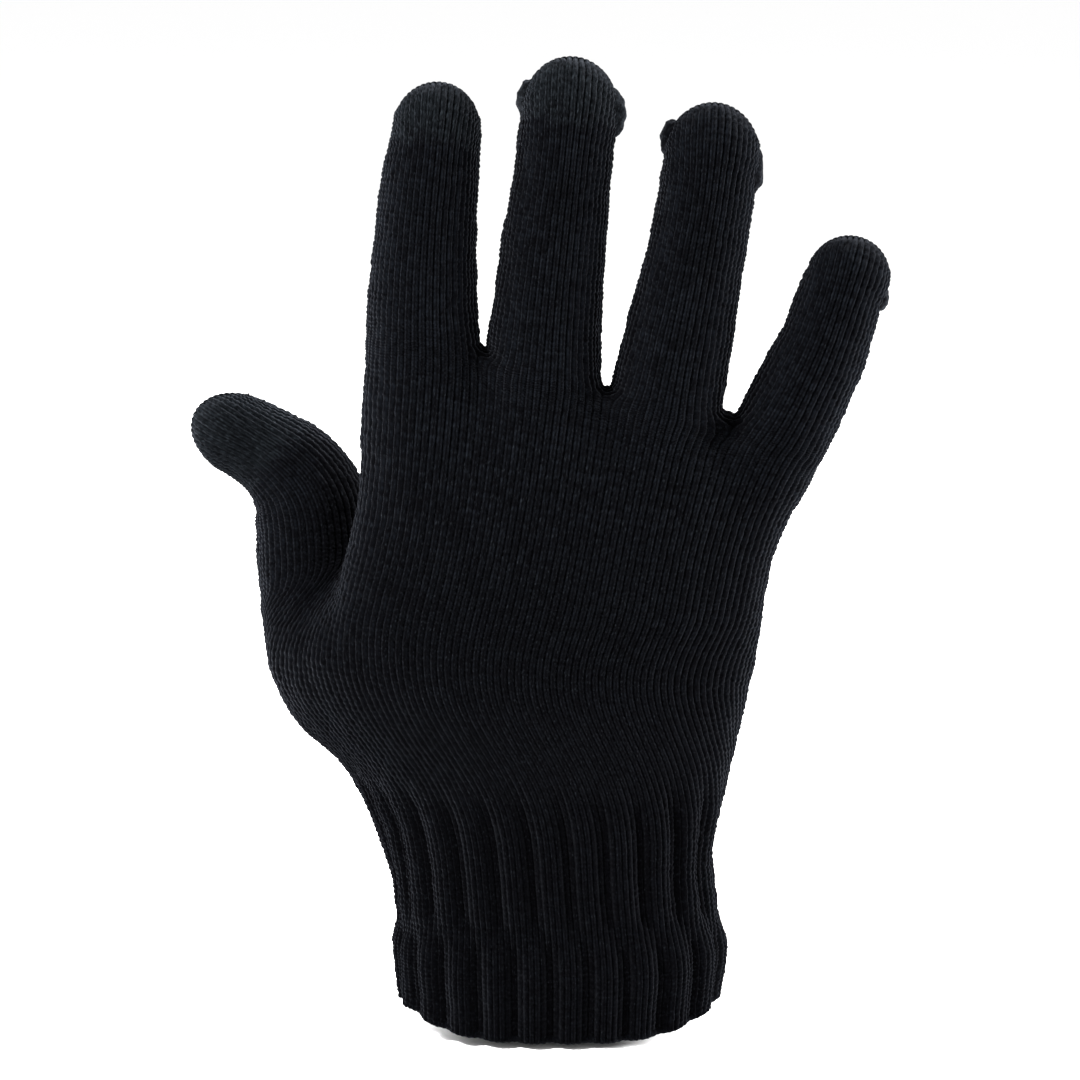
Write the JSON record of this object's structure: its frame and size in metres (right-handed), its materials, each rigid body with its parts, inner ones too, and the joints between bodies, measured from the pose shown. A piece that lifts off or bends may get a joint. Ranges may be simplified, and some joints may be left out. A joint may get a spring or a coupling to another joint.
{
  "type": "touchscreen glove",
  "caption": "Knitted right-hand glove, shaped as worn, with a ribbed cuff and grey conductive tips; the wrist, fingers and thumb bend with the hand inside.",
  "frame": {"origin": "centre of the cuff's mouth", "axes": "+Z from the cuff to the fingertips, +X from the thumb's side to the little finger's, +Y from the back of the hand to the palm"},
  "size_m": [0.1582, 0.053, 0.2208],
  "materials": {
    "black_yarn": "stockinette of black acrylic yarn, matt with a slight fuzz",
    "black_rib": "rib of black acrylic yarn, matt with a slight fuzz",
    "touch_yarn": "stockinette of marled grey conductive yarn, matt",
    "elastic_yarn": "covered elastic yarn, matt"
  },
  "bodies": {
    "cuff": {"cuff_welt": "black_rib", "cuff_rib": "black_rib", "cuff_elastic_threads": "elastic_yarn", "wrist_rib_fold": "black_rib"},
    "hand": {"wrist_rib": "black_rib", "hand_tube": "black_yarn", "index_base_fold": "black_yarn", "middle_base_fold": "black_yarn", "ring_base_fold": "black_yarn", "little_base_fold": "black_yarn", "thumb_base_fold": "black_yarn"},
    "index_base": {"index_base_sleeve": "black_yarn", "index_middle_fold": "black_yarn"},
    "index_middle": {"index_middle_sleeve": "black_yarn", "index_end_fold": "black_yarn"},
    "index_end": {"index_end_sleeve": "black_yarn", "index_touch_tip": "touch_yarn", "index_tip_seam": "touch_yarn", "index_yarn_tail": "black_yarn"},
    "middle_base": {"middle_base_sleeve": "black_yarn", "middle_middle_fold": "black_yarn"},
    "middle_middle": {"middle_middle_sleeve": "black_yarn", "middle_end_fold": "black_yarn"},
    "middle_end": {"middle_end_sleeve": "black_yarn", "middle_touch_tip": "touch_yarn", "middle_tip_seam": "touch_yarn", "middle_yarn_tail": "black_yarn"},
    "ring_base": {"ring_base_sleeve": "black_yarn", "ring_middle_fold": "black_yarn"},
    "ring_middle": {"ring_middle_sleeve": "black_yarn", "ring_end_fold": "black_yarn"},
    "ring_end": {"ring_end_cap": "black_yarn", "ring_tip_seam": "black_yarn", "ring_yarn_tail": "black_yarn"},
    "little_base": {"little_base_sleeve": "black_yarn", "little_middle_fold": "black_yarn"},
    "little_middle": {"little_middle_sleeve": "black_yarn", "little_end_fold": "black_yarn"},
    "little_end": {"little_end_cap": "black_yarn", "little_tip_seam": "black_yarn", "little_yarn_tail": "black_yarn"},
    "thumb_base": {"thumb_base_sleeve": "black_yarn", "thumb_end_fold": "black_yarn"},
    "thumb_end": {"thumb_end_sleeve": "black_yarn", "thumb_touch_tip": "touch_yarn", "thumb_tip_seam": "touch_yarn", "thumb_yarn_tail": "black_yarn"}
  },
  "joints": [
    {"name": "wrist_bend", "type": "hinge", "parent": "cuff", "child": "hand", "pos_m": [-0.00125, 0, 0.04], "axis": [-1, 0, 0], "range_deg": [-35, 35], "deforming": ["wrist_rib_fold"]},
    {"name": "index_base_bend", "type": "hinge", "parent": "hand", "child": "index_base", "pos_m": [-0.0306, 0.003, 0.15747], "axis": [-1, 0, 0.0028], "range_deg": [-15, 60], "deforming": ["index_base_fold"]},
    {"name": "index_middle_bend", "type": "hinge", "parent": "index_base", "child": "index_middle", "pos_m": [-0.03011, 0.0034, 0.17587], "axis": [-0.9985, 0, 0.0555], "range_deg": [0, 80], "deforming": ["index_middle_fold"]},
    {"name": "index_end_bend", "type": "hinge", "parent": "index_middle", "child": "index_end", "pos_m": [-0.02863, 0.00459, 0.19322], "axis": [-0.9959, 0, 0.0905], "range_deg": [0, 48], "deforming": ["index_end_fold"]},
    {"name": "middle_base_bend", "type": "hinge", "parent": "hand", "child": "middle_base", "pos_m": [-0.0035, 0.003, 0.15697], "axis": [-0.9965, 0, 0.0835], "range_deg": [-15, 60], "deforming": ["middle_base_fold"]},
    {"name": "middle_middle_bend", "type": "hinge", "parent": "middle_base", "child": "middle_middle", "pos_m": [-0.00151, 0.0034, 0.17688], "axis": [-0.9939, 0, 0.1104], "range_deg": [0, 80], "deforming": ["middle_middle_fold"]},
    {"name": "middle_end_bend", "type": "hinge", "parent": "middle_middle", "child": "middle_end", "pos_m": [0.00097, 0.00459, 0.19727], "axis": [-0.993, 0, 0.1185], "range_deg": [0, 48], "deforming": ["middle_end_fold"]},
    {"name": "ring_base_bend", "type": "hinge", "parent": "hand", "child": "ring_base", "pos_m": [0.02529, 0.003, 0.15197], "axis": [-0.9806, 0, 0.1961], "range_deg": [-15, 60], "deforming": ["ring_base_fold"]},
    {"name": "ring_middle_bend", "type": "hinge", "parent": "ring_base", "child": "ring_middle", "pos_m": [0.02908, 0.0034, 0.17037], "axis": [-0.9821, 0, 0.1885], "range_deg": [0, 80], "deforming": ["ring_middle_fold"]},
    {"name": "ring_end_bend", "type": "hinge", "parent": "ring_middle", "child": "ring_end", "pos_m": [0.03236, 0.00459, 0.18877], "axis": [-0.9863, 0, 0.165], "range_deg": [0, 48], "deforming": ["ring_end_fold"]},
    {"name": "little_base_bend", "type": "hinge", "parent": "hand", "child": "little_base", "pos_m": [0.05319, 0.003, 0.14347], "axis": [-0.9031, 0, 0.4294], "range_deg": [-15, 55], "deforming": ["little_base_fold"]},
    {"name": "little_middle_bend", "type": "hinge", "parent": "little_base", "child": "little_middle", "pos_m": [0.05885, 0.0033, 0.15587], "axis": [-0.929, 0, 0.3701], "range_deg": [0, 65], "deforming": ["little_middle_fold"]},
    {"name": "little_end_bend", "type": "hinge", "parent": "little_middle", "child": "little_end", "pos_m": [0.06272, 0.00419, 0.16735], "axis": [-0.9487, 0, 0.3162], "range_deg": [0, 39], "deforming": ["little_end_fold"]},
    {"name": "thumb_base_bend", "type": "hinge", "parent": "hand", "child": "thumb_base", "pos_m": [-0.0548, 0.0173, 0.1025], "axis": [-0.9735, 0, -0.2287], "range_deg": [-5, 35], "deforming": ["thumb_base_fold"]},
    {"name": "thumb_end_bend", "type": "hinge", "parent": "thumb_base", "child": "thumb_end", "pos_m": [-0.0576, 0.0205, 0.122], "axis": [0.0395, 0.9961, -0.0788], "range_deg": [-5, 60], "deforming": ["thumb_end_fold"]}
  ],
  "couplings": [
    {"joint": "index_end_bend", "follows": "index_middle_bend", "ratio": 0.6},
    {"joint": "middle_end_bend", "follows": "middle_middle_bend", "ratio": 0.6},
    {"joint": "ring_end_bend", "follows": "ring_middle_bend", "ratio": 0.6},
    {"joint": "little_end_bend", "follows": "little_middle_bend", "ratio": 0.6}
  ]
}
